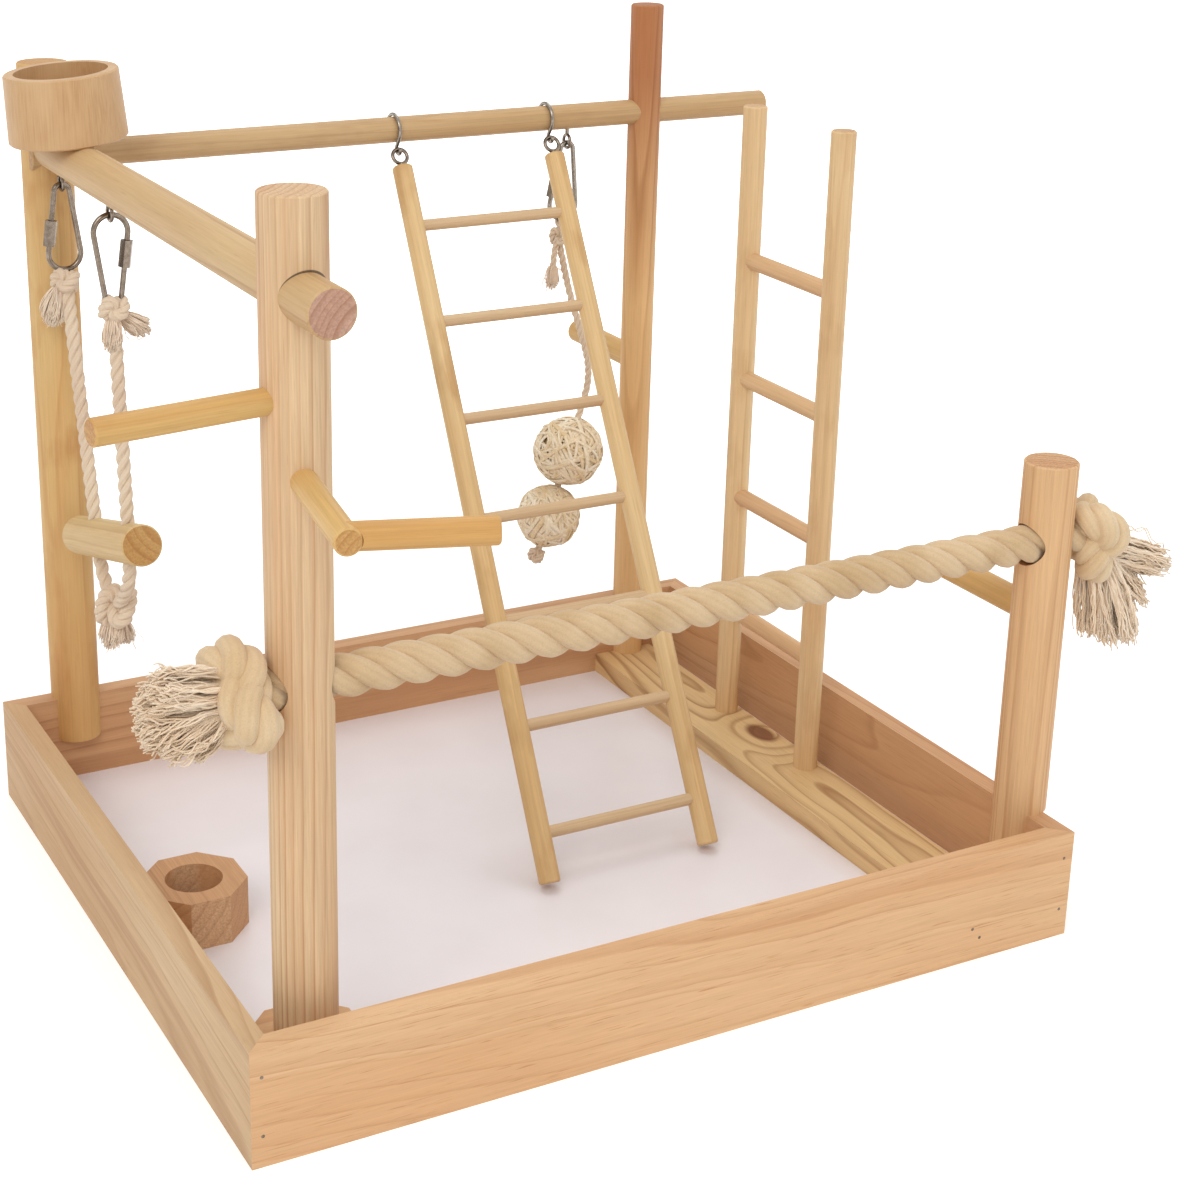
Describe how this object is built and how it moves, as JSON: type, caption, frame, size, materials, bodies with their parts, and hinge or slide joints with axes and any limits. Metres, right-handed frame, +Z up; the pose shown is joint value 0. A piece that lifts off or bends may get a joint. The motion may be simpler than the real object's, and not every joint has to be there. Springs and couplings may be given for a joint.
{
  "type": "parrot play stand",
  "caption": "Wooden tabletop play stand for a parrot: tray with dowel posts, perches, hung ladder, rope perch, swing, feed cup and vine ball toy.",
  "frame": {"origin": "on the resting plane, under the middle of the stand's wooden outline, its ropes left out", "axes": "+Z up, +X right along the tray's front panel as the picture looks at it, +Y to the back"},
  "size_m": [0.5927, 0.5329, 0.446],
  "materials": {
    "pine": "sanded bare pine",
    "post_pine": "sanded bare pine dowel",
    "beech": "sanded bare beech",
    "bamboo": "lightly oiled bamboo",
    "white_board": "matt white faced board",
    "cotton": "undyed cotton rope",
    "vine": "dried woven vine",
    "zinc": "dull nickel plated steel wire",
    "screw_steel": "zinc plated steel"
  },
  "bodies": {
    "stand": {"front_panel": "pine", "back_panel": "pine", "left_panel": "pine", "right_panel": "pine", "plank": "pine", "socket_block_front_left": "pine", "spare_socket_block": "pine", "upright_post_front": "pine", "upright_post_back": "pine", "post_front_left": "post_pine", "post_back_left": "post_pine", "post_back_right": "post_pine", "post_front_right": "post_pine", "side_perch": "post_pine", "top_perch": "beech", "left_perch": "beech", "front_perch": "beech", "elbow_perch": "beech", "far_perch": "beech", "right_perch": "beech", "upright_rung_1": "beech", "upright_rung_2": "beech", "upright_rung_3": "beech", "upright_rung_4": "beech", "feed_cup": "bamboo", "floor_board": "white_board", "rope_perch": "cotton", "rope_end_left": "cotton", "rope_end_right": "cotton", "perch_eyes": "zinc", "tray_brads": "screw_steel", "post_screws": "screw_steel", "base_screws": "screw_steel", "perch_screws": "screw_steel"},
    "hooks": {"ladder_hooks": "zinc"},
    "ladder": {"ladder_rail_left": "pine", "ladder_rail_right": "pine", "ladder_eyes": "zinc", "ladder_rung_1": "beech", "ladder_rung_2": "beech", "ladder_rung_3": "beech", "ladder_rung_4": "beech", "ladder_rung_5": "beech", "ladder_rung_6": "beech", "ladder_rung_7": "beech"},
    "swing": {"swing_link_front": "zinc", "swing_link_back": "zinc", "swing_rope_front": "cotton", "swing_rope_back": "cotton", "swing_knots": "cotton", "swing_bar": "pine", "swing_joint_knot": "cotton"},
    "front_sleeve": {"swing_sleeve_front": "zinc"},
    "back_sleeve": {"swing_sleeve_back": "zinc"},
    "toy_link": {"toy_link": "zinc"},
    "toy_sleeve": {"toy_sleeve": "zinc"},
    "toy_string": {"toy_cord": "cotton"},
    "upper_ball": {"vine_ball_upper": "vine"},
    "lower_ball": {"vine_ball_lower": "vine"}
  },
  "joints": [
    {"name": "hooks_on_perch", "type": "hinge", "parent": "stand", "child": "hooks", "pos_m": [0.0713, 0.1895, 0.381], "axis": [-1, 0, 0], "range_deg": [0, 14]},
    {"name": "ladder_on_hooks", "type": "hinge", "parent": "hooks", "child": "ladder", "pos_m": [0.0713, 0.18266, 0.37058], "axis": [-1, 0, 0], "range_deg": [0, 14]},
    {"name": "swing_on_eyes", "type": "hinge", "parent": "stand", "child": "swing", "pos_m": [-0.1837, 0.1275, 0.3657], "axis": [0, 1, 0], "range_deg": [-45, 45]},
    {"name": "front_sleeve_travel", "type": "slide", "parent": "swing", "child": "front_sleeve", "axis": [-0.1407, 0, -0.99], "range_m": [0, 0.0105]},
    {"name": "back_sleeve_travel", "type": "slide", "parent": "swing", "child": "back_sleeve", "axis": [0.1407, 0, 0.99], "range_m": [0, 0.0105]},
    {"name": "toy_link_on_eye", "type": "hinge", "parent": "stand", "child": "toy_link", "pos_m": [0.1368, 0.1895, 0.362], "axis": [0, 1, 0], "range_deg": [-4, 30]},
    {"name": "toy_sleeve_travel", "type": "slide", "parent": "toy_link", "child": "toy_sleeve", "axis": [0.2009, 0, 0.9796], "range_m": [0, 0.0105]},
    {"name": "toy_on_link", "type": "hinge", "parent": "toy_link", "child": "toy_string", "pos_m": [0.13412, 0.1895, 0.31818], "axis": [1, 0, 0], "range_deg": [-30, 60]},
    {"name": "upper_ball_spin", "type": "hinge", "parent": "toy_string", "child": "upper_ball", "pos_m": [0.1427, 0.1895, 0.1665], "axis": [-0.2998, 0, -0.954], "continuous": true},
    {"name": "lower_ball_spin", "type": "hinge", "parent": "toy_string", "child": "lower_ball", "pos_m": [0.1295, 0.1895, 0.1245], "axis": [-0.2998, 0, -0.954], "continuous": true}
  ]
}
